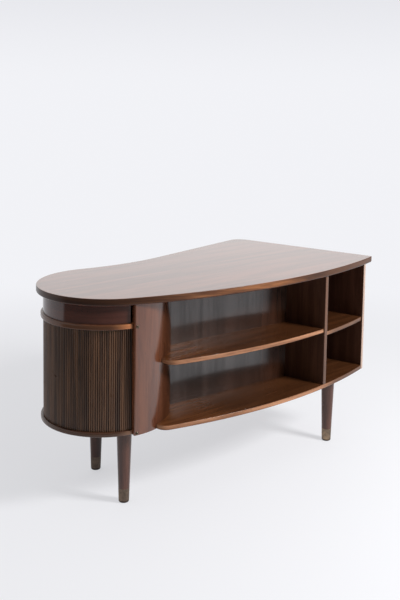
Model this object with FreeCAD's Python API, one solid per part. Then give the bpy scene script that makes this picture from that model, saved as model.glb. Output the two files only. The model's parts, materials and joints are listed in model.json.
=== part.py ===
import FreeCAD, Part
import math
import os

# Kidney-shaped desk on four turned legs: a round tambour cabinet under the left end, an open
# bookcase along the curved front (-Y) and a stack of drawers under the right end (user side, +Y).
# It is drawn about the drum's upright axis and moved at the end, so that the origin lies on the
# floor under the middle of the top. Millimetres and degrees.

# Heights
desk_height = 730.0
top_thickness = 25.0
leg_length = 267.0
board_thickness = 16.0
long_shelf_rise = 218.0
short_shelf_rise = 203.0
frieze_height = 63.5
middle_board_thickness = 19.0

# Top outline: end arc, front arc, recess, straight back and right edge
end_radius_margin = 32.0
end_overhang = 8.0
front_overhang = 11.0
right_overhang = 39.0
back_overhang = 21.0
recess_radius = 900.0
back_corner_radius = 55.0
front_corner_radius = 9.0
top_lower_round = 7.0
top_upper_round = 2.0

# Front curve of the bookcase, about a centre on the user side
front_centre_x = 616.0
upright_front_radius = 1913.0
front_from_drum = 6.6
shelf_setback = 5.0
bookcase_left_angle = -77.2
long_shelf_left_angle = -69.5
shelf_corner_radius = 38.0
bookcase_back_angle = -5.4
bookcase_back_offset = 96.0
back_thickness = 8.0
edge_round = 2.5

# Drum
drum_radius = 218.0
drum_rim_round = 5.0
wall_proud = 12.0
wall_thickness = 18.0
wall_edge_round = 4.0
wall_start_angle = 259.0
wall_end_angle = 410.0
board_end_angle = 1.2
frieze_setback = 8.0
frieze_thickness = 16.0
frieze_end_angle = 1.6
liner_thickness = 6.0
liner_gap = 5.0
liner_start_angle = 264.0
liner_end_angle = 400.0
cabinet_shelf_rise = 165.0
cabinet_shelf_thickness = 12.0
cabinet_shelf_reach = 60.0
cabinet_opening_angle = 110.0

# Tambour curtain
tambour_setback = 9.0
slat_pitch_angle = 2.0
slat_gap_angle = 0.12
slat_thickness = 7.0
slat_shoulder = 4.5
canvas_thickness = 1.0
lead_rail_angle = 4.0
lead_rail_gap_angle = 1.5
tambour_overlap_angle = 9.0
groove_depth = 6.0
grip_width = 6.0
grip_depth = 5.0
grip_length = 120.0

# Drawer pedestal, square to the slanted right edge
pedestal_angle = 12.0
pedestal_left = 702.0
pedestal_width = 328.0
pedestal_user_face = 132.0
pedestal_depth = 453.0
upright_thickness = 18.0
drawer_count = 3
drawer_reveal = 2.0
drawer_front_thickness = 18.0
drawer_side_thickness = 14.0
drawer_back_thickness = 12.0
drawer_bottom_thickness = 5.0
drawer_bottom_rise = 8.0
drawer_side_gap = 1.0
drawer_side_margin = 14.0
drawer_back_gap = 14.0
runner_projection = 8.0
runner_height = 14.0
runner_front_gap = 20.0

# Pencil drawer in the drum's frieze
pencil_joint_angle = 1.2
pencil_side_inset = 9.5
pencil_back_inset = 84.0
pencil_side_thickness = 10.0
pencil_reveal = 1.5
pencil_side_drop = 17.0
guide_width = 8.0
guide_height = 12.0

# Carved pull
pull_length = 96.0
pull_height = 22.0
pull_projection = 14.0
pull_scoop_radius = 11.0
pull_round = 4.0

# Legs, ferrules and fasteners
leg_top_radius = 26.4
leg_foot_radius = 17.75
ferrule_height = 50.0
ferrule_wall = 1.5
ferrule_floor = 2.5
ferrule_round = 5.0
front_left_leg_inset = 85.4
front_left_leg_angle = 264.4
back_left_leg_inset = 64.6
back_left_leg_angle = 64.9
right_legs_from_divider = 154.0
right_legs_from_front = 71.7
right_legs_from_back = 72.0
bolt_radius = 4.0
bolt_in_leg = 40.0
bolt_cover = 4.0
screw_radius = 2.0
screw_head_radius = 4.6
screw_head_height = 3.0
screw_head_rim = 0.5
screw_length = 38.0
screw_from_edge_angle = 2.4
screw_groove_margin = 1.0
glue_block_length = 60.0
glue_block_size = 20.0
glue_block_shares_back = (0.1, 0.5, 0.9)
glue_block_shares_divider = (0.35, 0.8)

# Clearances
fit_clearance = 0.05
slide_clearance = 0.3
seat_clearance = 0.1

# Heights that follow
case_floor = leg_length + board_thickness
top_underside = desk_height - top_thickness
middle_board_top = top_underside - frieze_height
middle_board_bottom = middle_board_top - middle_board_thickness
tambour_opening = middle_board_bottom - case_floor
case_height = top_underside - case_floor
bolt_in_board = board_thickness - bolt_cover

# Radii that follow
wall_outer = drum_radius + wall_proud
wall_inner = wall_outer - wall_thickness
tambour_face = drum_radius - tambour_setback
slat_back = tambour_face - slat_thickness
canvas_back = slat_back - canvas_thickness
liner_outer = canvas_back - liner_gap
liner_inner = liner_outer - liner_thickness
frieze_face = drum_radius - frieze_setback
frieze_back = frieze_face - frieze_thickness
end_radius = drum_radius + end_radius_margin
shelf_front_radius = upright_front_radius - shelf_setback
top_front_radius = upright_front_radius + front_overhang

# Angles about the drum axis that follow
full_turn = 360.0
user_side_angle = full_turn / 4
curtain_start = wall_end_angle - full_turn + lead_rail_gap_angle
pencil_front_start = wall_end_angle - full_turn + pencil_joint_angle
pencil_front_end = 2 * user_side_angle - pencil_front_start

# Pencil drawer box that follows its curved front
pencil_half_width = frieze_back * math.cos(math.radians(pencil_front_start)) - pencil_side_inset
pencil_back = frieze_back - pencil_back_inset

# Pedestal lines that follow, across (t) and along (n) the slanted pedestal
divider_right = pedestal_left + upright_thickness
pedestal_right = pedestal_left + pedestal_width
end_panel_left = pedestal_right - upright_thickness
pedestal_back = pedestal_user_face - pedestal_depth
top_right = pedestal_right + right_overhang
top_back = pedestal_user_face + back_overhang
far = 2.0 * (pedestal_right + end_radius)

# Front curve and bookcase end that follow the drum
front_reach = upright_front_radius - drum_radius - front_from_drum
front_centre_y = math.sqrt(front_reach ** 2 - front_centre_x ** 2)
bookcase_left_x = wall_outer * math.cos(math.radians(bookcase_left_angle))
long_shelf_left_x = wall_outer * math.cos(math.radians(long_shelf_left_angle))

up = FreeCAD.Vector(0, 0, 1)
drum_axis = FreeCAD.Vector(0, 0, 0)
front_centre = FreeCAD.Vector(front_centre_x, front_centre_y, 0)


def polar(centre, radius, angle):
    turn = math.radians(angle)
    return centre + FreeCAD.Vector(radius * math.cos(turn), radius * math.sin(turn), 0)


def turned_point(across, along, angle):
    return FreeCAD.Rotation(up, angle).multVec(FreeCAD.Vector(across, along, 0))


def pedestal_point(across, along):
    return turned_point(across, along, pedestal_angle)


def arc(centre, first, last, side):
    # Circular edge from first to last whose middle lies towards side
    radius = (first - centre).Length
    middle = centre + (side - centre).normalize() * radius
    return Part.Arc(first, middle, last).toShape()


def line(first, last):
    return Part.LineSegment(first, last).toShape()


def extrude_outline(edges, bottom, height):
    solid = Part.Face(Part.Wire(edges)).extrude(up * height)
    solid.translate(up * bottom)
    return solid


def upright_cylinder(centre, radius, bottom, height):
    return Part.makeCylinder(radius, height, centre + up * bottom)


def ring_sector(inner, outer, start, end, bottom, height):
    base = up * bottom
    solid = Part.makeCylinder(outer, height, base, up, end - start)
    solid = solid.cut(Part.makeCylinder(inner, height, base))
    solid.rotate(base, up, start)
    return solid


def turned_box(angle, low, high, bottom, height):
    # Box between two corners of a plan that is turned about the drum axis
    size = (high[0] - low[0], high[1] - low[1])
    solid = Part.makeBox(size[0], size[1], height, FreeCAD.Vector(low[0], low[1], bottom))
    solid.rotate(drum_axis, up, angle)
    return solid


def pedestal_box(low, high, bottom, height):
    return turned_box(pedestal_angle, low, high, bottom, height)


def ease(solid, radius, wanted):
    # Round the edges whose middle point passes the test
    chosen = []
    for edge in solid.Edges:
        middle = edge.valueAt((edge.FirstParameter + edge.LastParameter) / 2)
        if wanted(middle, edge):
            chosen.append(edge)
    return solid.makeFillet(radius, chosen)


def near(value, target):
    return abs(value - target) < 0.01


def from_axis(point):
    return math.hypot(point.x, point.y)


def on_front(point, radius):
    return near(math.hypot(point.x - front_centre_x, point.y - front_centre_y), radius)


def is_level(edge):
    return near(edge.Vertexes[0].Z, edge.Vertexes[-1].Z)


def make_top():
    end_x = end_radius - drum_radius - end_overhang
    reach = top_front_radius - end_radius
    end_y = front_centre_y - math.sqrt(reach ** 2 - (front_centre_x - end_x) ** 2)
    end_centre = FreeCAD.Vector(end_x, end_y, 0)
    along = pedestal_point(1, 0)
    outward = pedestal_point(0, 1)
    recess_rise = top_back - end_centre.dot(outward) + recess_radius
    recess_run = math.sqrt((end_radius + recess_radius) ** 2 - recess_rise ** 2)
    recess_centre = end_centre + along * recess_run + outward * recess_rise

    front_start = front_centre + (end_centre - front_centre).normalize() * top_front_radius
    recess_start = recess_centre - outward * recess_radius
    recess_end = end_centre + (recess_centre - end_centre).normalize() * end_radius

    back_centre = pedestal_point(top_right - back_corner_radius, top_back - back_corner_radius)
    back_first = back_centre + along * back_corner_radius
    back_last = back_centre + outward * back_corner_radius
    back_side = back_centre + along + outward

    inner_line = top_right - front_corner_radius
    inner_radius = top_front_radius - front_corner_radius
    offset = front_centre.dot(along) - inner_line
    drop = front_centre.dot(outward) - math.sqrt(inner_radius ** 2 - offset ** 2)
    corner_centre = pedestal_point(inner_line, drop)
    corner_out = (corner_centre - front_centre).normalize()
    corner_first = front_centre + corner_out * top_front_radius
    corner_last = corner_centre + along * front_corner_radius

    left_side = end_centre - FreeCAD.Vector(1, 0, 0)
    front_side = (front_start + corner_first) * 0.5
    recess_side = (recess_start + recess_end) * 0.5
    edges = [
        arc(front_centre, front_start, corner_first, front_side),
        arc(corner_centre, corner_first, corner_last, corner_centre + corner_out + along),
        line(corner_last, back_first),
        arc(back_centre, back_first, back_last, back_side),
        line(back_last, recess_start),
        arc(recess_centre, recess_start, recess_end, recess_side),
        arc(end_centre, recess_end, front_start, left_side),
    ]
    slab = extrude_outline(edges, top_underside, top_thickness)
    slab = ease(slab, top_lower_round, lambda p, e: near(p.z, top_underside))
    return ease(slab, top_upper_round, lambda p, e: near(p.z, desk_height))


def make_drum_wall():
    height = top_underside - leg_length
    wall = ring_sector(wall_inner, wall_outer, wall_start_angle, wall_end_angle, leg_length, height)
    wall = ease(wall, wall_edge_round, lambda p, e: not is_level(e) and near(from_axis(p), wall_outer))
    return wall.cut(Part.makeCompound(wall_screws(fit_clearance)))


def drum_board(bottom, thickness, groove_bottom):
    # Round board with a rim in front of the curtain and a seat for the wall behind it
    board = upright_cylinder(drum_axis, drum_radius, bottom, thickness)
    seat = wall_inner - seat_clearance
    first = wall_start_angle - board_end_angle
    last = wall_end_angle + board_end_angle
    board = board.cut(ring_sector(seat, wall_outer, first, last, bottom, thickness))
    rims = (bottom, bottom + thickness)
    board = ease(board, drum_rim_round, lambda p, e: is_rim(p, rims))
    inner = canvas_back - slide_clearance
    outer = tambour_face + slide_clearance
    groove = ring_sector(inner, outer, 0, full_turn, groove_bottom, groove_depth)
    return board.cut(groove).cut(Part.makeCompound(wall_screws(fit_clearance)))


def is_rim(point, heights):
    level = near(point.z, heights[0]) or near(point.z, heights[1])
    return level and near(from_axis(point), drum_radius)


def make_drum_bottom():
    board = drum_board(leg_length, board_thickness, case_floor - groove_depth)
    return board.cut(Part.makeCompound(leg_bolts(fit_clearance)))


def make_middle_board():
    return drum_board(middle_board_bottom, middle_board_thickness, middle_board_bottom)


def make_frieze():
    first = pencil_front_end + pencil_joint_angle
    last = wall_start_angle - frieze_end_angle
    height = top_underside - middle_board_top
    return ring_sector(frieze_back, frieze_face, first, last, middle_board_top, height)


def make_pocket_liner():
    ends = (liner_start_angle, liner_end_angle)
    return ring_sector(liner_inner, liner_outer, ends[0], ends[1], case_floor, tambour_opening)


def make_cabinet_shelf():
    bottom = case_floor + cabinet_shelf_rise
    radius = liner_inner - seat_clearance
    shelf = upright_cylinder(drum_axis, radius, bottom, cabinet_shelf_thickness)
    low = (cabinet_shelf_reach, -radius)
    high = (2 * radius, radius)
    front = turned_box(cabinet_opening_angle, low, high, bottom, cabinet_shelf_thickness)
    return shelf.cut(front)


def wall_screws(clearance):
    # Countersunk screws through the wall into the edges of the two drum boards
    solids = []
    beside_groove = groove_depth + screw_groove_margin + screw_radius
    heights = (case_floor - beside_groove, middle_board_bottom + beside_groove)
    middle = (wall_start_angle + wall_end_angle) / 2
    for angle in (wall_start_angle + screw_from_edge_angle, middle, wall_end_angle - screw_from_edge_angle):
        inward = polar(drum_axis, -1, angle)
        for height in heights:
            face = polar(drum_axis, wall_outer + screw_head_rim, angle) + up * height
            head = polar(drum_axis, wall_outer - screw_head_rim, angle) + up * height
            rim = Part.makeCylinder(screw_head_radius + clearance, 2 * screw_head_rim, face, inward)
            cone = Part.makeCone(
                screw_head_radius + clearance, screw_radius + clearance, screw_head_height, head, inward)
            shank = Part.makeCylinder(screw_radius + clearance, screw_length + clearance, head, inward)
            screw = rim.fuse(cone).fuse(shank).removeSplitter()
            solids.append(screw.common(drum_cylinder()))
    return solids


def drum_cylinder():
    return upright_cylinder(drum_axis, wall_outer, 0, desk_height)


def front_disc(radius, bottom, height):
    return upright_cylinder(front_centre, radius, bottom, height)


def bookcase_side(solid, left, bottom, height):
    # Keep what lies right of a line through the drum's wall, with its front corner rounded
    def is_corner(point, edge):
        return near(point.x, left) and not is_level(edge) and from_axis(point) > wall_outer

    right = Part.makeBox(far, 2 * far, height, FreeCAD.Vector(left, -far, bottom))
    return ease(solid.common(right).removeSplitter(), shelf_corner_radius, is_corner)


def before_back_panel(rear, bottom, height):
    # Everything in front of the bookcase's back panel, up to its face or its rear
    low = (-far, -far)
    high = (far, rear - bookcase_back_offset)
    return turned_box(bookcase_back_angle, low, high, bottom, height)


def make_bookcase_bottom():
    front = before_back_panel(back_thickness, leg_length, board_thickness)
    floor = pedestal_box((pedestal_left, -far), (far, pedestal_user_face), leg_length, board_thickness)
    limit = pedestal_box((-far, -far), (end_panel_left, far), leg_length, board_thickness)
    board = front_disc(upright_front_radius, leg_length, board_thickness)
    board = board.common(front.fuse(floor)).common(limit)
    board = bookcase_side(board, bookcase_left_x, leg_length, board_thickness)
    board = ease(board, edge_round, lambda p, e: is_level(e) and on_front(p, upright_front_radius))
    return board.cut(drum_cylinder()).cut(Part.makeCompound(leg_bolts(fit_clearance)))


def make_long_shelf():
    bottom = case_floor + long_shelf_rise - board_thickness
    shelf = front_disc(shelf_front_radius, bottom, board_thickness)
    shelf = shelf.common(before_back_panel(0, bottom, board_thickness))
    shelf = shelf.common(pedestal_box((-far, -far), (pedestal_right, far), bottom, board_thickness))
    shelf = bookcase_side(shelf, long_shelf_left_x, bottom, board_thickness)
    shelf = ease(shelf, edge_round, lambda p, e: is_level(e) and on_front(p, shelf_front_radius))
    shelf = shelf.common(pedestal_box((-far, -far), (pedestal_left, far), bottom, board_thickness))
    return shelf.cut(drum_cylinder())


def make_short_shelf():
    bottom = case_floor + short_shelf_rise - board_thickness
    shelf = front_disc(shelf_front_radius, bottom, board_thickness)
    between = pedestal_box((divider_right, -far), (end_panel_left, pedestal_back), bottom, board_thickness)
    shelf = shelf.common(between)
    return ease(shelf, edge_round, lambda p, e: is_level(e) and on_front(p, shelf_front_radius))


def upright(left, bottom):
    height = top_underside - bottom
    panel = pedestal_box((left, -far), (left + upright_thickness, pedestal_user_face), bottom, height)
    panel = panel.common(front_disc(upright_front_radius, bottom, height))
    return ease(panel, edge_round, lambda p, e: not is_level(e) and on_front(p, upright_front_radius))


def make_divider():
    return upright(pedestal_left, case_floor)


def make_end_panel():
    return upright(end_panel_left, leg_length)


def make_bookcase_back():
    low = (0, -bookcase_back_offset)
    high = (far, back_thickness - bookcase_back_offset)
    panel = turned_box(bookcase_back_angle, low, high, case_floor, case_height)
    left = pedestal_box((-far, -far), (pedestal_left, far), case_floor, case_height)
    return panel.common(left).cut(drum_cylinder())


def make_pedestal_back():
    low = (divider_right, pedestal_back)
    high = (end_panel_left, pedestal_back + back_thickness)
    return pedestal_box(low, high, case_floor, case_height)


def leg_places():
    across = pedestal_left + right_legs_from_divider
    centre_along = front_centre.dot(pedestal_point(0, 1))
    front_along = centre_along - upright_front_radius + right_legs_from_front
    back_along = pedestal_user_face - right_legs_from_back
    return {
        "front_left": polar(drum_axis, drum_radius - front_left_leg_inset, front_left_leg_angle),
        "back_left": polar(drum_axis, drum_radius - back_left_leg_inset, back_left_leg_angle),
        "front_right": pedestal_point(across, front_along),
        "back_right": pedestal_point(across, back_along),
    }


def leg_radius_at(height):
    return leg_foot_radius + (leg_top_radius - leg_foot_radius) * height / leg_length


def revolve_profile(points, place):
    wire = Part.makePolygon(points + [points[0]])
    solid = Part.Face(wire).revolve(drum_axis, up, full_turn)
    solid.translate(place)
    return solid


def make_leg(place):
    collar = leg_radius_at(ferrule_height)
    core_top = collar - ferrule_wall - fit_clearance
    core_foot = leg_radius_at(ferrule_floor) - ferrule_wall - fit_clearance
    points = [
        FreeCAD.Vector(0, 0, ferrule_floor),
        FreeCAD.Vector(core_foot, 0, ferrule_floor),
        FreeCAD.Vector(core_top, 0, ferrule_height),
        FreeCAD.Vector(collar, 0, ferrule_height),
        FreeCAD.Vector(leg_top_radius, 0, leg_length),
        FreeCAD.Vector(0, 0, leg_length),
    ]
    return revolve_profile(points, place).cut(Part.makeCompound(leg_bolts(fit_clearance)))


def make_ferrule(place):
    collar = leg_radius_at(ferrule_height)
    foot_inside = leg_radius_at(ferrule_floor) - ferrule_wall
    points = [
        FreeCAD.Vector(0, 0, 0),
        FreeCAD.Vector(leg_foot_radius, 0, 0),
        FreeCAD.Vector(collar, 0, ferrule_height),
        FreeCAD.Vector(collar - ferrule_wall, 0, ferrule_height),
        FreeCAD.Vector(foot_inside, 0, ferrule_floor),
        FreeCAD.Vector(0, 0, ferrule_floor),
    ]
    sleeve = revolve_profile(points, drum_axis)
    sleeve = ease(sleeve, ferrule_round, lambda p, e: near(p.z, 0) and p.Length > ferrule_wall)
    sleeve.translate(place)
    return sleeve


def leg_bolts(clearance):
    solids = []
    length = bolt_in_leg + bolt_in_board + 2 * clearance
    for place in leg_places().values():
        bottom = leg_length - bolt_in_leg - clearance
        solids.append(upright_cylinder(place, bolt_radius + clearance, bottom, length))
    return solids


def curtain_height():
    bottom = case_floor - groove_depth + slide_clearance
    return bottom, middle_board_bottom + groove_depth - slide_clearance - bottom


def make_slats():
    bottom, height = curtain_height()
    half = slat_back * math.tan(math.radians(slat_pitch_angle / 2 - slat_gap_angle))
    shoulder = slat_back + slat_shoulder
    widest = half * shoulder / slat_back
    corners = [
        FreeCAD.Vector(slat_back, -half, 0),
        FreeCAD.Vector(shoulder, -widest, 0),
        FreeCAD.Vector(shoulder, widest, 0),
        FreeCAD.Vector(slat_back, half, 0),
    ]
    crown = Part.Arc(corners[1], FreeCAD.Vector(tambour_face, 0, 0), corners[2]).toShape()
    edges = [
        line(corners[0], corners[1]),
        crown,
        line(corners[2], corners[3]),
        line(corners[3], corners[0]),
    ]
    first = curtain_start + lead_rail_angle
    count = int((wall_start_angle + tambour_overlap_angle - first) / slat_pitch_angle)
    solids = []
    for index in range(count):
        slat = extrude_outline(edges, bottom, height)
        slat.rotate(drum_axis, up, first + (index + 0.5) * slat_pitch_angle)
        solids.append(slat)
    return Part.makeCompound(solids), first + count * slat_pitch_angle


def make_canvas(last):
    bottom, height = curtain_height()
    return ring_sector(canvas_back, slat_back - fit_clearance, curtain_start, last, bottom, height)


def make_lead_rail():
    # Wider first slat with a hollow for the fingers along its face
    bottom, height = curtain_height()
    last = curtain_start + lead_rail_angle - slat_gap_angle
    rail = ring_sector(slat_back, tambour_face, curtain_start, last, bottom, height)
    angle = (curtain_start + last) / 2
    low = (tambour_face - grip_depth, -grip_width / 2)
    high = (tambour_face + grip_depth, grip_width / 2)
    grip = turned_box(angle, low, high, bottom + (height - grip_length) / 2, grip_length)
    return rail.cut(grip)


def make_pull():
    # Bar with a scoop under it, drawn on the plane y = 0 and standing out along +Y
    corner = FreeCAD.Vector(-pull_length / 2, 0, -pull_height / 2)
    bar = Part.makeBox(pull_length, pull_projection, pull_height, corner)
    scoop = Part.makeCylinder(pull_scoop_radius, pull_length, corner, FreeCAD.Vector(1, 0, 0))
    bar = ease(bar, pull_round, lambda p, e: near(p.y, pull_projection))
    return bar.cut(scoop)


def drawer_heights():
    front_height = (case_height - drawer_reveal * (drawer_count + 1)) / drawer_count
    bottoms = []
    for index in range(drawer_count):
        bottoms.append(case_floor + drawer_reveal + index * (front_height + drawer_reveal))
    return front_height, bottoms


def runner_bottom(front_bottom, front_height):
    return front_bottom + (front_height - runner_height) / 2


def make_runners(left):
    front_height, bottoms = drawer_heights()
    first = pedestal_back + back_thickness
    last = pedestal_user_face - drawer_front_thickness - runner_front_gap
    edge = divider_right if left else end_panel_left - runner_projection
    solids = []
    for bottom in bottoms:
        base = runner_bottom(bottom, front_height)
        low = (edge, first)
        high = (edge + runner_projection, last)
        solids.append(pedestal_box(low, high, base, runner_height))
    return Part.makeCompound(solids)


def make_drawer(index):
    # Front, two grooved sides, back, bottom and pull of one pedestal drawer
    front_height, bottoms = drawer_heights()
    bottom = bottoms[index]
    face = pedestal_user_face
    behind = face - drawer_front_thickness
    rear = pedestal_back + back_thickness + drawer_back_gap
    left = divider_right + drawer_side_gap
    right = end_panel_left - drawer_side_gap
    side_bottom = bottom + drawer_side_margin
    side_height = front_height - 2 * drawer_side_margin
    inside_left = left + drawer_side_thickness
    inside_right = right - drawer_side_thickness
    floor = side_bottom + drawer_bottom_rise
    groove_reach = runner_projection - drawer_side_gap + slide_clearance
    groove_base = runner_bottom(bottom, front_height) - slide_clearance
    groove_height = runner_height + 2 * slide_clearance

    front = pedestal_box((left, behind), (right, face), bottom, front_height)
    front = ease(front, edge_round, lambda p, e: near(p.dot(pedestal_point(0, 1)), face))
    sides = []
    for edge, groove_edge in ((left, left), (inside_right, right - groove_reach)):
        side = pedestal_box((edge, rear), (edge + drawer_side_thickness, behind), side_bottom, side_height)
        low = (groove_edge, rear)
        high = (groove_edge + groove_reach, behind - runner_front_gap + slide_clearance)
        sides.append(side.cut(pedestal_box(low, high, groove_base, groove_height)))
    low = (inside_left, rear)
    board = pedestal_box(low, (inside_right, behind), floor, drawer_bottom_thickness)
    back_bottom = floor + drawer_bottom_thickness
    back_height = side_bottom + side_height - back_bottom
    back = pedestal_box(low, (inside_right, rear + drawer_back_thickness), back_bottom, back_height)
    pull = make_pull()
    pull.translate(FreeCAD.Vector((left + right) / 2, face, bottom + front_height / 2))
    pull.rotate(drum_axis, up, pedestal_angle)
    return {
        "front": front,
        "left_side": sides[0],
        "right_side": sides[1],
        "bottom": board,
        "back": back,
        "pull": pull,
    }


def make_pencil_drawer():
    # Shallow drawer with a curved front that slides out along +Y over the middle board
    front_bottom = middle_board_top + pencil_reveal
    front_height = top_underside - middle_board_top - 2 * pencil_reveal
    start = pencil_front_start
    front = ring_sector(frieze_back, frieze_face, start, pencil_front_end, front_bottom, front_height)
    front = ease(front, edge_round, lambda p, e: near(from_axis(p), frieze_face))
    seat = middle_board_top + slide_clearance
    side_height = top_underside - pencil_side_drop - seat
    limit = upright_cylinder(drum_axis, frieze_back - seat_clearance, seat, front_height)
    wall = pencil_side_thickness
    sides = []
    for edge in (-pencil_half_width, pencil_half_width - wall):
        side = turned_box(0, (edge, -pencil_back), (edge + wall, drum_radius), seat, side_height)
        sides.append(side.common(limit))
    inside = pencil_half_width - wall
    floor = seat + wall / 2
    board = turned_box(0, (-inside, -pencil_back), (inside, drum_radius), floor, drawer_bottom_thickness)
    back_bottom = floor + drawer_bottom_thickness
    back_height = seat + side_height - back_bottom
    back = turned_box(0, (-inside, -pencil_back), (inside, wall - pencil_back), back_bottom, back_height)
    pull = make_pull()
    pull.translate(FreeCAD.Vector(0, frieze_face, front_bottom + front_height / 2))
    reach = turned_box(0, (-pull_length, 0), (pull_length, 2 * drum_radius), front_bottom, front_height)
    hollow = upright_cylinder(drum_axis, frieze_face, front_bottom, front_height)
    pull = lengthened_pull(pull).common(reach).cut(hollow)
    return {
        "front": front,
        "left_side": sides[0],
        "right_side": sides[1],
        "bottom": board.common(limit),
        "back": back,
        "pull": pull,
    }


def lengthened_pull(pull):
    # The curved front falls away from the pull's ends, so its foot is carried back to meet it
    sag = frieze_face - math.sqrt(frieze_face ** 2 - (pull_length / 2) ** 2)
    foot_height = pull_height - pull_scoop_radius
    top_edge = pull.BoundBox.ZMax
    low = FreeCAD.Vector(-pull_length / 2, frieze_face - sag, top_edge - foot_height)
    return pull.fuse(Part.makeBox(pull_length, sag, foot_height, low)).removeSplitter()


def make_pencil_guides():
    solids = []
    gap = pencil_half_width + slide_clearance
    limit = upright_cylinder(drum_axis, frieze_back - seat_clearance, middle_board_top, guide_height)
    for edge in (gap, -gap - guide_width):
        low = (edge, -pencil_back)
        high = (edge + guide_width, drum_radius)
        solids.append(turned_box(0, low, high, middle_board_top, guide_height).common(limit))
    return Part.makeCompound(solids)


def make_glue_blocks():
    # Blocks in the kneehole corners between the uprights and the top
    solids = []
    bottom = top_underside - glue_block_size
    size = glue_block_size
    rear = back_thickness - bookcase_back_offset
    left_end = wall_outer + glue_block_length
    run = pedestal_left - left_end - glue_block_length
    for share in glue_block_shares_back:
        start = left_end + share * run - glue_block_length / 2
        high = (start + glue_block_length, rear + size)
        solids.append(turned_box(bookcase_back_angle, (start, rear), high, bottom, size))
    for share in glue_block_shares_divider:
        start = pedestal_back + share * pedestal_depth
        low = (pedestal_left - size, start)
        solids.append(pedestal_box(low, (pedestal_left, start + glue_block_length), bottom, size))
    return Part.makeCompound(solids)


def make_nodes():
    slats, curtain_end = make_slats()
    nodes = {
        "top": make_top(),
        "drum_wall": make_drum_wall(),
        "drum_bottom": make_drum_bottom(),
        "middle_board": make_middle_board(),
        "frieze": make_frieze(),
        "pocket_liner": make_pocket_liner(),
        "cabinet_shelf": make_cabinet_shelf(),
        "drum_wall_screws": Part.makeCompound(wall_screws(0)),
        "bookcase_bottom": make_bookcase_bottom(),
        "bookcase_back": make_bookcase_back(),
        "long_shelf": make_long_shelf(),
        "short_shelf": make_short_shelf(),
        "divider": make_divider(),
        "end_panel": make_end_panel(),
        "pedestal_back": make_pedestal_back(),
        "drawer_runners_left": make_runners(True),
        "drawer_runners_right": make_runners(False),
        "pencil_drawer_guides": make_pencil_guides(),
        "glue_blocks": make_glue_blocks(),
        "leg_bolts": Part.makeCompound(leg_bolts(0)),
        "tambour_slats": slats,
        "tambour_canvas": make_canvas(curtain_end),
        "tambour_lead_rail": make_lead_rail(),
    }
    for corner, place in leg_places().items():
        nodes["leg_" + corner] = make_leg(place)
        nodes["ferrule_" + corner] = make_ferrule(place)
    for index in range(drawer_count):
        for piece, solid in make_drawer(index).items():
            nodes["drawer_{}_{}".format(index + 1, piece)] = solid
    for piece, solid in make_pencil_drawer().items():
        nodes["pencil_drawer_" + piece] = solid
    return nodes


nodes = make_nodes()
box = nodes["top"].optimalBoundingBox(False, False)
middle = FreeCAD.Vector(box.Center.x, box.Center.y, 0)
os.makedirs("parts", exist_ok=True)
for name, shape in nodes.items():
    shape.translate(-middle)
    shape.exportStep("parts/" + name + ".step")
print("drum axis at", -middle.x, -middle.y)
print("overall size", box.XLength, box.YLength, desk_height)
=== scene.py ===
import bpy
import json
import math
from mathutils import Matrix, Vector


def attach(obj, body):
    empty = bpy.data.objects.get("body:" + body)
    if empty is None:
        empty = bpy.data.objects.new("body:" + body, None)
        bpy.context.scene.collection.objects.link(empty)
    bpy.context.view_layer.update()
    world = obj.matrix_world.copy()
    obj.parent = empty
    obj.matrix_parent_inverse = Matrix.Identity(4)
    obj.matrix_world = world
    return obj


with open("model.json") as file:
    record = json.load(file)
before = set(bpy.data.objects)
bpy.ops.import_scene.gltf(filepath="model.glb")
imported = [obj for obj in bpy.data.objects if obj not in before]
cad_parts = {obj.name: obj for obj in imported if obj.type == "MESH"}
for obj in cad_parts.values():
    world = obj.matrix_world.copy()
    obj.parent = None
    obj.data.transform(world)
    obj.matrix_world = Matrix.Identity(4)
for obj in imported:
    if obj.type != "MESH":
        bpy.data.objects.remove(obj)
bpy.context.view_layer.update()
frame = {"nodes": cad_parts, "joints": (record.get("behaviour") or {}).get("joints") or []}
nodes = frame["nodes"]
joints = {joint["name"]: joint for joint in frame["joints"]}
drumX, drumY = joints["tambour_slide"]["pos_m"][:2]  # the drum's upright axis
print("frame loaded:", len(nodes), "nodes")


# small helpers for node trees: an input takes a number, a tuple or another node's output
def feed(tree, socket, value):
    if isinstance(value, (int, float, tuple)):
        socket.default_value = value + (1,) if socket.type == "RGBA" else value
    else:
        tree.links.new(value, socket)


def addNode(tree, kind, settings=None, inputs=None):
    node = tree.nodes.new(kind)
    for name, value in (settings or {}).items():
        setattr(node, name, value)
    for name, value in (inputs or {}).items():
        feed(tree, node.inputs[name], value)
    return node


def addMath(tree, operation, *values, clamp=False):
    node = addNode(tree, "ShaderNodeMath", {"operation": operation, "use_clamp": clamp})
    for socket, value in zip(node.inputs, values):
        feed(tree, socket, value)
    return node.outputs["Value"]


def addVector(tree, operation, *values):
    node = addNode(tree, "ShaderNodeVectorMath", {"operation": operation})
    for socket, value in zip(node.inputs, values):
        feed(tree, socket, value)
    return node.outputs["Vector" if operation == "NORMALIZE" else "Value"]


def addSplit(tree, vector):
    return addNode(tree, "ShaderNodeSeparateXYZ", None, {"Vector": vector}).outputs


def addRange(tree, value, edges, shares=(0.0, 1.0)):
    return addNode(tree, "ShaderNodeMapRange", {"interpolation_type": "SMOOTHSTEP"}, {
        "Value": value, "From Min": edges[0], "From Max": edges[1], "To Min": shares[0], "To Max": shares[1],
    }).outputs["Result"]


def addMix(tree, factor, first, second):
    return addNode(tree, "ShaderNodeMix", {"data_type": "RGBA"}, {
        "Factor": factor, "A": first, "B": second}).outputs["Result"]


def addNoise(tree, vector, scale, detail, roughness=0.5, distortion=0.0):
    return addNode(tree, "ShaderNodeTexNoise", None, {
        "Vector": vector, "Scale": scale, "Detail": detail, "Roughness": roughness, "Distortion": distortion,
    }).outputs["Fac"]


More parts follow.
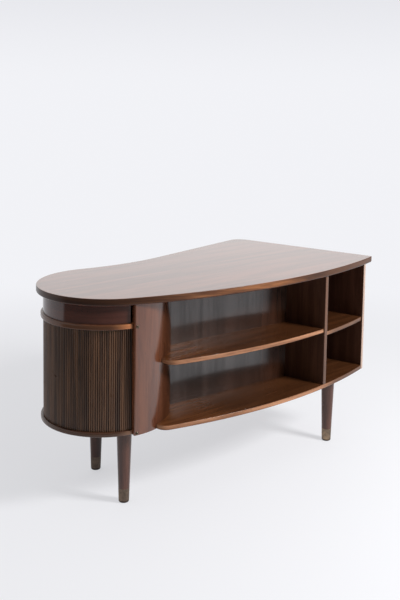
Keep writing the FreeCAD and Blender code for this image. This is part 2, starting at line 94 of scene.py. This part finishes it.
def newGroup(name, inputs, outputs):
    tree = bpy.data.node_groups.new(name, "ShaderNodeTree")
    for way, sockets in (("INPUT", inputs), ("OUTPUT", outputs)):
        for label, kind in sockets.items():
            tree.interface.new_socket(name=label, in_out=way, socket_type="NodeSocket" + kind)
    return tree, tree.nodes.new("NodeGroupInput").outputs, tree.nodes.new("NodeGroupOutput").inputs


def useGroup(tree, group, inputs):
    return addNode(tree, "ShaderNodeGroup", {"node_tree": group}, inputs).outputs


# wood figure: broad bands, growth lines and open pores, stretched by the material's mapping;
# each noise here and below is given by scale, detail, roughness and distortion
figureLook = {
    "bands": (1.0, 3, 0.55, 0.6), "bandEdges": (0.32, 0.70), "bandGloss": 0.6,
    "rings": (0.55, 2, 0.45, 0.3), "ringCount": 95.0,
    "fine": (9.0, 5, 0.65), "fineShare": 0.9, "fineHeight": 0.35, "fineGloss": 0.4,
    "pores": (26.0, 2), "poreEdges": (0.60, 0.72), "poreTone": (0.012, 0.006, 0.004)}


def buildWoodFigure():
    tree, start, end = newGroup("woodFigure", {
        "Vector": "Vector", "Light": "Color", "Dark": "Color", "Lines": "Float", "Pores": "Float",
    }, {"Color": "Color", "Height": "Float", "Gloss": "Float"})
    bands = addNoise(tree, start["Vector"], *figureLook["bands"])
    ringNoise = addNoise(tree, start["Vector"], *figureLook["rings"])
    ringWave = addMath(tree, "SINE", addMath(tree, "MULTIPLY", ringNoise, figureLook["ringCount"]))
    rings = addMath(tree, "SUBTRACT", addRange(tree, ringWave, (-1.0, 1.0)), 0.5)
    fine = addNoise(tree, start["Vector"], *figureLook["fine"])
    bandShare = addRange(tree, bands, figureLook["bandEdges"])
    lineShare = addMath(tree, "MULTIPLY", rings, start["Lines"])
    fineShare = addMath(tree, "MULTIPLY", addMath(tree, "SUBTRACT", fine, 0.5), figureLook["fineShare"])
    tone = addMath(tree, "ADD", addMath(tree, "ADD", bandShare, lineShare), fineShare, clamp=True)
    colour = addMix(tree, tone, start["Dark"], start["Light"])
    poreNoise = addNoise(tree, start["Vector"], *figureLook["pores"])
    pores = addMath(tree, "MULTIPLY", addRange(tree, poreNoise, figureLook["poreEdges"]), start["Pores"])
    feed(tree, end["Color"], addMix(tree, pores, colour, figureLook["poreTone"]))
    fineHeight = addMath(tree, "MULTIPLY", fine, figureLook["fineHeight"])
    feed(tree, end["Height"], addMath(tree, "SUBTRACT", fineHeight, pores))
    bandGloss = addMath(tree, "MULTIPLY", bands, figureLook["bandGloss"])
    fineGloss = addMath(tree, "MULTIPLY", fine, figureLook["fineGloss"])
    feed(tree, end["Gloss"], addMath(tree, "ADD", bandGloss, fineGloss))
    return tree


# wear along the edges: the rounded normal leaves the face's own normal there
wearLook = {"samples": 4, "turned": (0.995, 0.80), "patches": (38.0, 4, 0.6), "patchEdges": (0.42, 0.66),
            "patchShares": (0.15, 1.0), "nookReach": 0.02, "nookEdges": (0.60, 0.85)}


def buildEdgeWear():
    tree, start, end = newGroup(
        "edgeWear", {"Vector": "Vector", "Reach": "Float", "Amount": "Float"}, {"Mask": "Float"})
    samples = {"samples": wearLook["samples"]}
    rounded = addNode(tree, "ShaderNodeBevel", samples, {"Radius": start["Reach"]}).outputs["Normal"]
    flat = addNode(tree, "ShaderNodeNewGeometry").outputs["Normal"]
    turn = addRange(tree, addVector(tree, "DOT_PRODUCT", rounded, flat), wearLook["turned"])
    patchNoise = addNoise(tree, start["Vector"], *wearLook["patches"])
    patches = addRange(tree, patchNoise, wearLook["patchEdges"], wearLook["patchShares"])
    nook = addNode(tree, "ShaderNodeAmbientOcclusion", samples, {"Distance": wearLook["nookReach"]})
    free = addRange(tree, nook.outputs["AO"], wearLook["nookEdges"])  # nothing rubs where two boards meet
    mask = addMath(tree, "MULTIPLY", addMath(tree, "MULTIPLY", turn, patches), start["Amount"], clamp=True)
    feed(tree, end["Mask"], addMath(tree, "MULTIPLY", mask, free))
    return tree


# handling marks: soft cloudy change of gloss with a few fine scratches
handlingLook = {
    "clouds": (7.0, 5, 0.6, 0.4), "scratches": (1.0, 2), "scratchTurn": (0.3, 0.5, 0.9),
    "scratchStretch": (6.0, 220.0, 220.0), "scratchEdges": (0.70, 0.78), "scratchShares": (0.0, 0.5)}


def buildHandling():
    tree, start, end = newGroup("handling", {"Vector": "Vector"}, {"Value": "Float"})
    clouds = addNoise(tree, start["Vector"], *handlingLook["clouds"])
    stretch = addNode(tree, "ShaderNodeMapping", None, {
        "Vector": start["Vector"], "Rotation": handlingLook["scratchTurn"],
        "Scale": handlingLook["scratchStretch"]})
    scratchNoise = addNoise(tree, stretch.outputs["Vector"], *handlingLook["scratches"])
    scratches = addRange(tree, scratchNoise, handlingLook["scratchEdges"], handlingLook["scratchShares"])
    feed(tree, end["Value"], addMath(tree, "ADD", clouds, scratches))
    return tree


woodFigure = buildWoodFigure()
edgeWear = buildEdgeWear()
handling = buildHandling()
print("node groups built")


def startMaterial(name):
    material = bpy.data.materials.new(name)
    material.use_nodes = True
    tree = material.node_tree
    tree.nodes.clear()
    shader = addNode(tree, "ShaderNodeBsdfPrincipled")
    addNode(tree, "ShaderNodeOutputMaterial", None, {"Surface": shader.outputs["BSDF"]})
    return material, tree, shader, addNode(tree, "ShaderNodeTexCoord").outputs


def setShader(tree, shader, values):
    for name, value in values.items():
        feed(tree, shader.inputs[name], value)


def addBump(tree, height, look):
    return addNode(tree, "ShaderNodeBump", None, {
        "Height": height, "Strength": look["relief"], "Distance": look["depth"]}).outputs["Normal"]


def addWear(tree, position, colour, wear, tone):
    worn = useGroup(tree, edgeWear, {"Vector": position, "Reach": wear["reach"], "Amount": wear["amount"]})
    return addMix(tree, worn["Mask"], colour, tone)


def addFigure(tree, position, settings, light, dark):
    turn = math.radians(settings.get("turn", 0.0))
    mapping = addNode(tree, "ShaderNodeMapping", None, {
        "Vector": position, "Rotation": (0, 0, turn), "Scale": settings["grain"]})
    return useGroup(tree, woodFigure, {
        "Vector": mapping.outputs["Vector"], "Light": light, "Dark": dark,
        "Lines": settings["lines"], "Pores": settings["pores"]})


# every wood ends alike: rubbed edges, handling marks in the sheen and a little relief
def finishWood(tree, shader, position, figure, colour, settings):
    marks = useGroup(tree, handling, {"Vector": position})["Value"]
    least = settings["roughness"] - settings["marks"] / 2
    setShader(tree, shader, {
        "Base Color": addWear(tree, position, colour, settings["wear"], settings["rubbed"]),
        "Roughness": addMath(tree, "MULTIPLY_ADD", marks, settings["marks"], least),
        "Specular IOR Level": settings["gloss"],
        "Normal": addBump(tree, figure["Height"], settings)})


# lacquered wood: light and dark are the veneer's two tones, grain stretches the figure, turn is in degrees;
# lipping says which narrow sides carry a solid edge, edge gives its two tones, under where painted shade
# darkens it below, and the edge fades say from where to where along X the painted shade on the edge gives
# way, and by which share
woods = {
    "topWood": {
        "light": (0.215, 0.064, 0.032), "dark": (0.120, 0.034, 0.017), "grain": (1.6, 20.0, 20.0),
        "turn": 6.0, "lines": 0.12, "pores": 0.35, "relief": 0.03, "roughness": 0.28, "marks": 0.02,
        "gloss": 0.25, "coat": 1.0, "coatRoughness": 0.10, "lipping": "level", "under": (-0.15, -0.55),
        "edge": ((0.335, 0.134, 0.050), (0.098, 0.034, 0.012)),
        "edgeFades": ((-0.62, -0.15, 0.92), (0.26, 0.00, 0.75))},
    "shelfWood": {
        "light": (0.152, 0.054, 0.019), "dark": (0.084, 0.028, 0.009), "grain": (2.6, 38.0, 38.0),
        "lines": 0.2, "pores": 0.45, "relief": 0.08, "roughness": 0.24, "marks": 0.10, "gloss": 0.22,
        "lipping": "level", "under": (-0.15, -0.55), "edge": ((0.430, 0.210, 0.112), (0.215, 0.094, 0.047)),
        "edgeFades": ((0.42, 0.30, 0.66),),
        "inside": {"x": (-0.27, -0.06), "y": (-0.10, -0.15), "share": 0.50}},
    "railWood": {
        "light": (0.135, 0.050, 0.024), "dark": (0.070, 0.024, 0.011), "grain": (1.8, 22.0, 22.0),
        "lines": 0.16, "pores": 0.4, "relief": 0.10, "roughness": 0.20, "marks": 0.10, "gloss": 0.4,
        "lipping": "level", "under": (-0.55, -0.95), "edge": ((0.640, 0.265, 0.104), (0.460, 0.166, 0.061)),
        "edgeFades": ((-0.58, -0.495, 0.87),)},
    "panelWood": {
        "light": (0.142, 0.046, 0.020), "dark": (0.084, 0.026, 0.012), "grain": (22.0, 22.0, 1.6),
        "lines": 0.14, "pores": 0.35, "relief": 0.05, "roughness": 0.20, "marks": 0.10, "gloss": 0.6,
        "coat": 0.40, "coatRoughness": 0.14,
        "inside": {"x": (-0.415, -0.365), "y": (-0.12, -0.15), "share": 0.55}},
    "dividerWood": {
        "light": (0.078, 0.033, 0.018), "dark": (0.046, 0.018, 0.010), "grain": (22.0, 22.0, 1.6),
        "lines": 0.14, "pores": 0.35, "relief": 0.08, "roughness": 0.24, "marks": 0.10, "gloss": 0.5,
        "lipping": "front", "edge": ((0.130, 0.056, 0.029), (0.072, 0.030, 0.015)), "edgeFades": ()},
    "backWood": {
        "light": (0.046, 0.018, 0.010), "dark": (0.026, 0.010, 0.005), "grain": (26.0, 26.0, 1.5),
        "lines": 0.14, "pores": 0.3, "relief": 0.03, "roughness": 0.17, "marks": 0.10, "gloss": 0.5,
        "streaks": (0.36, 0.96), "dullFrom": (0.12, 0.20), "coatRoughness": 0.10},
    "friezeWood": {
        "light": (0.066, 0.020, 0.013), "dark": (0.037, 0.010, 0.006), "grain": (2.0, 2.0, 24.0),
        "lines": 0.16, "pores": 0.4, "relief": 0.05, "roughness": 0.09, "marks": 0.06, "gloss": 0.58},
    "legWood": {
        "light": (0.105, 0.042, 0.027), "dark": (0.056, 0.021, 0.014), "grain": (30.0, 30.0, 2.4),
        "lines": 0.16, "pores": 0.4, "relief": 0.10, "roughness": 0.26, "marks": 0.10, "gloss": 0.5},
}
# pieces of the same kinds in other tones; some paint light and shade: the drum bottom's rim is a darker copy
# with painted shade on its faces
woods["rimWood"] = {
    **woods["railWood"], "light": (0.072, 0.028, 0.015), "dark": (0.040, 0.015, 0.008),
    "edge": ((0.300, 0.155, 0.088), (0.210, 0.102, 0.056)), "edgeFades": ((-0.56, -0.485, 0.80),)}
# the end panel's edge gets a pale tone as a painted reflection
woods["endWood"] = {
    **woods["dividerWood"], "light": (0.078, 0.033, 0.020), "dark": (0.046, 0.018, 0.011),
    "edge": ((0.470, 0.325, 0.250), (0.320, 0.210, 0.158))}
# the back-left leg: a darker copy as painted shade
woods["darkLegWood"] = {
    **woods["legWood"], "light": (0.063, 0.025, 0.016), "dark": (0.034, 0.013, 0.008),
    "roughness": 0.30, "gloss": 0.32}
lacquer = {"depth": 0.0006, "rubbed": (0.30, 0.135, 0.068), "wear": {"reach": 0.0025, "amount": 0.45}}
lippingLook = {
    "level": {"grain": (2.4, 2.4, 46.0), "lines": 0.2, "pores": 0.4},
    "front": {"grain": (40.0, 40.0, 2.2), "lines": 0.2, "pores": 0.4},
    # the fade tone is painted shade towards an edge's ends
    "levelEdges": (0.55, 0.85), "frontEdges": (-0.80, -0.60), "fadeTone": (0.020, 0.008, 0.005),
    # the under shares and tone give painted shade on an edge's underside
    "underShares": (0.0, 0.75), "underTone": (0.024, 0.010, 0.006)}
# tone of the painted shade inside the bookcase
paintedInsideShadeTone = (0.016, 0.007, 0.004)
streakEdges = (0.36, 0.60)


# solid edge: its own grain on the narrow sides of a board, with painted shade towards its ends
def addLipping(tree, coordinates, settings, colour):
    kind = settings["lipping"]
    edge = addFigure(tree, coordinates["Object"], lippingLook[kind], *settings["edge"])["Color"]
    place = addSplit(tree, coordinates["Object"])
    for fadeFrom, fadeTo, share in settings["edgeFades"]:
        # painted shade on the edge, growing towards its end
        shade = addRange(tree, place["X"], (fadeFrom, fadeTo), (share, 0.0))
        edge = addMix(tree, shade, edge, lippingLook["fadeTone"])
    facing = addSplit(tree, coordinates["Normal"])
    if kind == "level":
        under = addRange(tree, facing["Z"], settings["under"], lippingLook["underShares"])  # painted shade on the underside of the edge
        edge = addMix(tree, under, edge, lippingLook["underTone"])
        mask = addRange(tree, addMath(tree, "ABSOLUTE", facing["Z"]), lippingLook["levelEdges"], (1.0, 0.0))
    else:
        mask = addRange(tree, facing["Y"], lippingLook["frontEdges"], (1.0, 0.0))
    return addMix(tree, mask, colour, edge), mask


# painted shade inside the bookcase: the wood there is darkened by a share along X and Y
def addPaintedInsideShade(tree, position, inside, colour):
    place = addSplit(tree, position)
    along = addRange(tree, place["X"], inside["x"], (0.0, inside["share"]))
    across = addRange(tree, place["Y"], inside["y"])
    return addMix(tree, addMath(tree, "MULTIPLY", along, across), colour, paintedInsideShadeTone)


# the grain shows through the lacquer's shine, which is duller towards the divider
def addStreaks(tree, position, settings, gloss):
    streaks = addRange(tree, gloss, streakEdges, settings["streaks"])
    dull = addRange(tree, addSplit(tree, position)["X"], settings["dullFrom"], (1.0, 0.0))
    return addMath(tree, "MULTIPLY", streaks, dull)


def makeLacqueredWood(name, settings):
    material, tree, shader, coordinates = startMaterial(name)
    position = coordinates["Object"]
    figure = addFigure(tree, position, settings, settings["light"], settings["dark"])
    colour = figure["Color"]
    coat = settings.get("coat", 0.0)
    # painted shade inside the bookcase
    if "inside" in settings:
        colour = addPaintedInsideShade(tree, position, settings["inside"], colour)
    if "streaks" in settings:
        coat = addStreaks(tree, position, settings, figure["Gloss"])
    if "lipping" in settings:
        colour, mask = addLipping(tree, coordinates, settings, colour)
        coat = addRange(tree, mask, (0.0, 1.0), (coat, 0.0)) if coat else coat  # none on the solid edge
    setShader(tree, shader, {"Coat Weight": coat, "Coat Roughness": settings.get("coatRoughness", 0.0)})
    finishWood(tree, shader, position, figure, colour, {**lacquer, **settings})
    return material


materials = {name: makeLacqueredWood(name, settings) for name, settings in woods.items()}
print("lacquered woods made:", ", ".join(materials))


# where a point lies from the drum's axis: along, across and the angle
def addDrumPlace(tree, position):
    place = addSplit(tree, position)
    along = addMath(tree, "SUBTRACT", place["X"], drumX)
    across = addMath(tree, "SUBTRACT", place["Y"], drumY)
    return along, across, addMath(tree, "ARCTAN2", across, along)


# tambour slats: the same wood, each slat a little lighter or darker than the next;
# pitch and firstSlat are degrees about the drum's axis, groove goes from the slats' valleys, darkened as
# painted shade, to their crowns
tambour = {
    "light": (0.140, 0.067, 0.033), "dark": (0.046, 0.021, 0.011), "grain": (60.0, 60.0, 2.2),
    "lines": 0.2, "pores": 0.4, "relief": 0.12, "depth": 0.0005, "roughness": 0.30, "marks": 0.16,
    "gloss": 0.42, "pitch": 2.0, "firstSlat": 55.5, "toneChange": 0.34, "darkSlat": (0.012, 0.007, 0.005),
    "groove": (0.2060, 0.2082), "waxShares": (0.85, 0.0), "wax": (0.006, 0.004, 0.003),
    "rubbed": (0.20, 0.10, 0.055), "wear": {"reach": 0.0012, "amount": 0.35}}


def makeTambourWood():
    material, tree, shader, coordinates = startMaterial("tambourWood")
    position = coordinates["Object"]
    figure = addFigure(tree, position, tambour, tambour["light"], tambour["dark"])
    along, across, turn = addDrumPlace(tree, position)
    slats = addMath(tree, "MULTIPLY", turn, 180 / math.pi / tambour["pitch"])
    slats = addMath(tree, "SUBTRACT", slats, tambour["firstSlat"] / tambour["pitch"])
    slatNumber = addMath(tree, "FLOOR", slats)
    random = addNode(tree, "ShaderNodeTexWhiteNoise", {"noise_dimensions": "1D"}, {"W": slatNumber})
    tone = addRange(tree, random.outputs["Value"], (0.0, 1.0), (0.0, tambour["toneChange"]))
    colour = addMix(tree, tone, figure["Color"], tambour["darkSlat"])
    squares = [addMath(tree, "MULTIPLY", side, side) for side in (across, along)]
    reach = addMath(tree, "SQRT", addMath(tree, "ADD", *squares))
    shade = addRange(tree, reach, tambour["groove"], tambour["waxShares"])  # painted shade in the grooves between the slats
    colour = addMix(tree, shade, colour, tambour["wax"])
    finishWood(tree, shader, position, figure, colour, tambour)
    return material


# bare woods inside: plain hardwood, plywood and pale drawer linings
bareLook = {"marks": 0.2, "gloss": 0.5, "relief": 0.25, "depth": 0.0006,
            "rubbed": (0.10, 0.055, 0.028), "wear": {"reach": 0.0015, "amount": 0.4}}
bareWoods = {
    "innerWood": {"light": (0.240, 0.125, 0.060), "dark": (0.130, 0.062, 0.030), "grain": (2.0, 2.0, 34.0),
                  "lines": 0.3, "pores": 0.35, "roughness": 0.62},
    "liningWood": {"light": (0.420, 0.260, 0.130), "dark": (0.270, 0.150, 0.070), "grain": (30.0, 2.2, 30.0),
                   "turn": -12.0, "lines": 0.35, "pores": 0.25, "roughness": 0.55},
}


def makeBareWood(name, settings):
    material, tree, shader, coordinates = startMaterial(name)
    position = coordinates["Object"]
    figure = addFigure(tree, position, settings, settings["light"], settings["dark"])
    finishWood(tree, shader, position, figure, figure["Color"], {**bareLook, **settings})
    return material


# canvas on the slats' backs: threads over and under along two directions, sizes in metres
canvas = {
    "light": (0.300, 0.250, 0.180), "dark": (0.120, 0.095, 0.065), "thread": 0.0012, "radius": 0.2,
    "slubs": (90.0, 4, 0.6), "slubEdges": (0.3, 0.7), "slubTones": (0.6, 1.0), "roughness": (0.82, 0.95),
    "relief": 0.5, "depth": 0.0004}


def makeCanvas():
    material, tree, shader, coordinates = startMaterial("canvas")
    position = coordinates["Object"]
    turn = addDrumPlace(tree, position)[2]
    height = addSplit(tree, position)["Z"]
    wave = math.pi / canvas["thread"]
    warp = addMath(tree, "SINE", addMath(tree, "MULTIPLY", turn, canvas["radius"] * wave))
    weft = addMath(tree, "SINE", addMath(tree, "MULTIPLY", height, wave))
    weave = addRange(tree, addMath(tree, "MULTIPLY", warp, weft), (-1.0, 1.0))
    slubs = addNoise(tree, position, *canvas["slubs"])
    tone = addMath(tree, "MULTIPLY", weave, addRange(tree, slubs, canvas["slubEdges"], canvas["slubTones"]))
    setShader(tree, shader, {
        "Base Color": addMix(tree, tone, canvas["dark"], canvas["light"]),
        "Roughness": addRange(tree, slubs, canvas["slubEdges"], canvas["roughness"]),
        "Normal": addBump(tree, weave, canvas)})
    return material


# metals: bright is the rubbed metal, dull the tarnish that covers most of it; the ferrules turn darker
# towards the bottom over the heights given
metalLook = {
    "clouds": (55.0, 6, 0.62, 0.5), "specks": (420.0, 3, 0.6), "speckShare": 0.25,
    "tarnishEdges": (0.40, 0.85), "roughEdges": (0.25, 0.75), "roughChange": 0.25,
    "soilShares": (0.85, 0.0), "relief": 0.08, "depth": 0.0003, "wear": {"reach": 0.0015, "amount": 0.8}}
ferrules = {
    "leastTarnish": 0.31, "roughness": 0.38, "soiled": (0.004, 0.010), "soil": (0.020, 0.016, 0.013)}
metals = {
    "agedBrass": {**ferrules, "bright": (0.295, 0.215, 0.158), "dull": (0.078, 0.061, 0.050)},
    # a brighter copy of the ferrules' brass, used on the remaining ferrules
    "rubbedBrass": {**ferrules, "bright": (0.540, 0.385, 0.255), "dull": (0.142, 0.110, 0.082)},
    # the back-left ferrule: a darker copy as painted shade
    "darkBrass": {**ferrules, "bright": (0.180, 0.133, 0.102), "dull": (0.047, 0.037, 0.031),
                  "soil": (0.012, 0.010, 0.008)},
    "screwBrass": {"bright": (0.300, 0.220, 0.150), "dull": (0.055, 0.040, 0.030),
                   "leastTarnish": 0.45, "roughness": 0.14},
    "boltSteel": {"bright": (0.520, 0.520, 0.540), "dull": (0.220, 0.220, 0.230),
                  "leastTarnish": 0.20, "roughness": 0.36},
}


def makeMetal(name, settings):
    material, tree, shader, coordinates = startMaterial(name)
    position = coordinates["Object"]
    clouds = addNoise(tree, position, *metalLook["clouds"])
    specks = addNoise(tree, position, *metalLook["specks"])
    spots = addMath(tree, "ADD", clouds, addMath(tree, "MULTIPLY", specks, metalLook["speckShare"]))
    cover = addRange(tree, spots, metalLook["tarnishEdges"], (1.0, settings["leastTarnish"]))
    colour = addMix(tree, cover, settings["bright"], settings["dull"])
    colour = addWear(tree, position, colour, metalLook["wear"], settings["bright"])
    # darker towards the bottom over the given heights
    if "soiled" in settings:
        soil = addRange(tree, addSplit(tree, position)["Z"], settings["soiled"], metalLook["soilShares"])
        colour = addMix(tree, soil, colour, settings["soil"])
    roughness = (settings["roughness"], settings["roughness"] + metalLook["roughChange"])
    setShader(tree, shader, {
        "Base Color": colour, "Metallic": 1.0,
        "Roughness": addRange(tree, clouds, metalLook["roughEdges"], roughness),
        "Normal": addBump(tree, specks, metalLook)})
    return material


materials["tambourWood"] = makeTambourWood()
materials.update({name: makeBareWood(name, settings) for name, settings in bareWoods.items()})
materials["canvas"] = makeCanvas()
materials.update({name: makeMetal(name, settings) for name, settings in metals.items()})

# which material a node gets: by its whole name, else by its end, else by its start
materialByName = {
    "top": "topWood", "drum_wall": "panelWood", "divider": "dividerWood", "end_panel": "endWood",
    "middle_board": "railWood", "drum_bottom": "rimWood", "bookcase_back": "backWood",
    "pedestal_back": "backWood", "frieze": "friezeWood", "tambour_slats": "tambourWood",
    "tambour_lead_rail": "tambourWood",
    "tambour_canvas": "canvas", "leg_bolts": "boltSteel", "drum_wall_screws": "screwBrass",
    # the back-left leg and ferrule get darker copies as painted shade
    "leg_back_left": "darkLegWood", "ferrule_back_left": "darkBrass", "ferrule_front_left": "agedBrass",
    "pencil_drawer_guides": "innerWood", "glue_blocks": "innerWood", "pocket_liner": "innerWood",
    "cabinet_shelf": "innerWood"}
materialByEnd = {"_front": "friezeWood", "_pull": "friezeWood"}
materialByStart = {"leg_": "legWood", "ferrule_": "rubbedBrass", "drawer_runners": "innerWood",
                   "drawer_": "liningWood", "pencil_drawer_": "liningWood"}


def pickMaterial(name):
    if name in materialByName:
        return materialByName[name]
    for end, material in materialByEnd.items():
        if name.endswith(end):
            return material
    for start, material in materialByStart.items():
        if name.startswith(start):
            return material
    return "shelfWood"


for name, node in nodes.items():
    node.data.materials.clear()
    node.data.materials.append(materials[pickMaterial(name)])
print("materials placed on", len(nodes), "nodes")


# slotted screw heads in the drum's wall: sizes in metres, angles in degrees about the drum's axis
screwHeads = {
    "sides": 40, "radius": 0.0060, "rise": 0.0020, "depth": 0.0020, "ringWidth": 0.0010,
    "ringRises": (0.45, 0.27, 0.17, 0.08), "slotWidth": 0.0012, "slotDepth": 0.0012, "softWidth": 0.00012,
    "softSteps": 2, "smoothTo": 40.0, "wallRadius": 0.230, "angles": (261.4, 334.5, 407.6),
    "heights": (0.274, 0.6315), "slotTurns": (20, 75, 140, 55, 165, 100)}


def selectUpperFaces(piece):
    bpy.ops.object.mode_set(mode="EDIT")
    bpy.ops.mesh.select_all(action="DESELECT")
    bpy.ops.object.mode_set(mode="OBJECT")
    for face in piece.data.polygons:
        face.select = face.normal.z > 0.9
    bpy.ops.object.mode_set(mode="EDIT")
    bpy.ops.mesh.select_mode(type="FACE")


def makeScrewHead():
    radius, rise, depth = screwHeads["radius"], screwHeads["rise"], screwHeads["depth"]
    bpy.ops.object.select_all(action="DESELECT")
    bpy.ops.mesh.primitive_cylinder_add(
        vertices=screwHeads["sides"], radius=radius, depth=depth, location=(0, 0, -depth / 2))
    head = bpy.context.object
    bpy.ops.object.transform_apply(location=True, rotation=True, scale=True)
    selectUpperFaces(head)
    for share in screwHeads["ringRises"]:  # low dome in four rings
        bpy.ops.mesh.inset(thickness=screwHeads["ringWidth"], depth=rise * share)
    bpy.ops.object.mode_set(mode="OBJECT")
    bpy.ops.mesh.primitive_cube_add(size=1.0, location=(0, 0, rise))
    cutter = bpy.context.object
    bpy.ops.transform.resize(value=(4 * radius, screwHeads["slotWidth"], 2 * screwHeads["slotDepth"]))
    bpy.ops.object.select_all(action="DESELECT")
    bpy.context.view_layer.objects.active = head
    head.select_set(True)
    slot = head.modifiers.new("slot", "BOOLEAN")
    slot.operation = "DIFFERENCE"
    slot.object = cutter
    slot.solver = "EXACT"
    bpy.ops.object.modifier_apply(modifier=slot.name)
    bpy.data.objects.remove(cutter)
    soft = head.modifiers.new("soft", "BEVEL")
    soft.width = screwHeads["softWidth"]
    soft.segments = screwHeads["softSteps"]
    bpy.ops.object.modifier_apply(modifier=soft.name)
    bpy.ops.object.shade_smooth_by_angle(angle=math.radians(screwHeads["smoothTo"]))
    return head


def placeScrewHeads():
    model = makeScrewHead()
    count = 0
    for angle in screwHeads["angles"]:
        turn = math.radians(angle)
        outward = Vector((math.cos(turn), math.sin(turn), 0))
        for height in screwHeads["heights"]:
            head = model.copy()
            head.data = model.data.copy()
            head.name = "screw_head_" + str(count + 1)
            bpy.context.scene.collection.objects.link(head)
            facing = outward.to_track_quat("Z", "Y").to_matrix().to_4x4()
            spin = Matrix.Rotation(math.radians(screwHeads["slotTurns"][count]), 4, "Z")
            place = Vector((drumX, drumY, height)) + outward * screwHeads["wallRadius"]
            head.data.transform(Matrix.Translation(place) @ facing @ spin)
            head.data.materials.clear()
            head.data.materials.append(materials["screwBrass"])
            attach(head, "carcass")
            count += 1
    bpy.data.objects.remove(model)
    print("screw heads placed:", count)


placeScrewHeads()


# floor and sky: a pale floor that fades into the backdrop, and a dim side behind the camera;
# sides are directions from the middle, edges say where a side begins and is full
studio = {
    "white": (0.885, 0.890, 0.925), "upper": (0.770, 0.775, 0.815), "upperEdges": (0.0, 0.16),
    "floorSize": 60.0, "floor": (0.84, 0.84, 0.86), "fadeEdges": (1.2, 3.2), "fadeShares": (0.62, 1.0),
    "dimSide": (-0.819, -0.574, 0.0), "dimEdges": (0.52, 0.60), "dimFrom": (0.9, 1.8),
    "dimFloor": (0.26, 0.26, 0.26),
    "rightSide": (0.80, -0.60, 0.0), "rightEdges": (0.25, 0.65), "rightLevels": (1.0, 0.28),
    "upSide": (0.0, 0.0, 1.0), "overheadEdges": (0.45, 0.90), "overhead": (0.42, 0.42, 0.42),
    "behindSide": (-0.64, -0.77, 0.0), "behindEdges": (0.60, 0.80), "behind": (0.04, 0.04, 0.04)}


def makeFloor():
    bpy.ops.object.select_all(action="DESELECT")
    bpy.ops.mesh.primitive_plane_add(size=studio["floorSize"], location=(0, 0, 0))
    floor = bpy.context.object
    floor.name = "floor"
    material = bpy.data.materials.new("floorPaint")
    material.use_nodes = True
    tree = material.node_tree
    tree.nodes.clear()
    position = addNode(tree, "ShaderNodeTexCoord").outputs["Object"]
    seen = addNode(tree, "ShaderNodeLightPath").outputs
    length = addVector(tree, "LENGTH", position)
    side = addVector(tree, "DOT_PRODUCT", addVector(tree, "NORMALIZE", position), studio["dimSide"])
    dim = addMath(tree, "MULTIPLY", addRange(tree, side, studio["dimEdges"]),
                  addRange(tree, length, studio["dimFrom"]))
    dim = addMath(tree, "MULTIPLY", dim, seen["Is Glossy Ray"])  # only what the desk mirrors is dim
    mirrored = addMath(tree, "SUBTRACT", seen["Is Glossy Ray"], dim)
    looked = addMath(tree, "MAXIMUM", seen["Is Camera Ray"], mirrored)
    fade = addRange(tree, length, studio["fadeEdges"], studio["fadeShares"])
    paint = addNode(tree, "ShaderNodeBsdfDiffuse", None, {
        "Color": addMix(tree, dim, studio["floor"], studio["dimFloor"])})
    glow = addNode(tree, "ShaderNodeEmission", None, {"Color": studio["white"]})
    blend = addNode(tree, "ShaderNodeMixShader", None, {"Fac": addMath(tree, "MULTIPLY", fade, looked)})
    tree.links.new(paint.outputs["BSDF"], blend.inputs[1])
    tree.links.new(glow.outputs["Emission"], blend.inputs[2])
    addNode(tree, "ShaderNodeOutputMaterial", None, {"Surface": blend.outputs["Shader"]})
    floor.data.materials.append(material)


def makeWorld():
    world = bpy.data.worlds.new("studio")
    bpy.context.scene.world = world
    world.use_nodes = True
    tree = world.node_tree
    tree.nodes.clear()
    direction = addNode(tree, "ShaderNodeTexCoord").outputs["Generated"]
    up, right, behind = (addVector(tree, "DOT_PRODUCT", direction, studio[side])
                         for side in ("upSide", "rightSide", "behindSide"))
    level = addRange(tree, right, studio["rightEdges"], studio["rightLevels"])
    level = addMix(tree, addRange(tree, up, studio["overheadEdges"]), level, studio["overhead"])
    level = addMix(tree, addRange(tree, behind, studio["behindEdges"]), level, studio["behind"])
    backdrop = addMix(tree, addRange(tree, up, studio["upperEdges"]), studio["white"], studio["upper"])
    seen = addNode(tree, "ShaderNodeLightPath").outputs["Is Camera Ray"]
    light = addNode(tree, "ShaderNodeBackground", None, {"Color": addMix(tree, seen, level, backdrop)})
    addNode(tree, "ShaderNodeOutputWorld", None, {"Surface": light.outputs["Background"]})


# lamp: one broad window-like light, place and size in metres, power in watts
lamp = {"place": (1.20, -2.65, 2.35), "aim": (0.0, -0.1, 0.35), "size": (0.85, 0.75), "power": 125.0}


def makeLamp():
    data = bpy.data.lights.new("window", "AREA")
    data.shape = "RECTANGLE"
    data.size, data.size_y = lamp["size"]
    data.energy = lamp["power"]
    light = bpy.data.objects.new("window", data)
    bpy.context.scene.collection.objects.link(light)
    light.location = lamp["place"]
    light.rotation_euler = (Vector(lamp["aim"]) - Vector(lamp["place"])).to_track_quat("-Z", "Y").to_euler()


# camera: place in metres, angles in degrees, lens and sensor in millimetres
view = {"place": (-2.2140, -2.3878, 1.395), "heading": -42.59, "pitch": 5.728, "roll": 0.86,
        "lens": 52.11, "sensor": 36.0, "shiftY": -0.2037}


def makeCamera():
    data = bpy.data.cameras.new("camera")
    data.lens = view["lens"]
    data.sensor_width = view["sensor"]
    data.shift_y = view["shiftY"]
    camera = bpy.data.objects.new("camera", data)
    bpy.context.scene.collection.objects.link(camera)
    turn = Matrix.Rotation(math.radians(view["heading"]), 4, "Z")
    turn = turn @ Matrix.Rotation(math.radians(90.0 - view["pitch"]), 4, "X")
    turn = turn @ Matrix.Rotation(math.radians(view["roll"]), 4, "Z")
    camera.matrix_world = Matrix.Translation(view["place"]) @ turn
    bpy.context.scene.camera = camera


makeFloor()
makeWorld()
makeLamp()
makeCamera()
bpy.context.scene.view_settings.view_transform = "Standard"
print("floor, light and camera set")
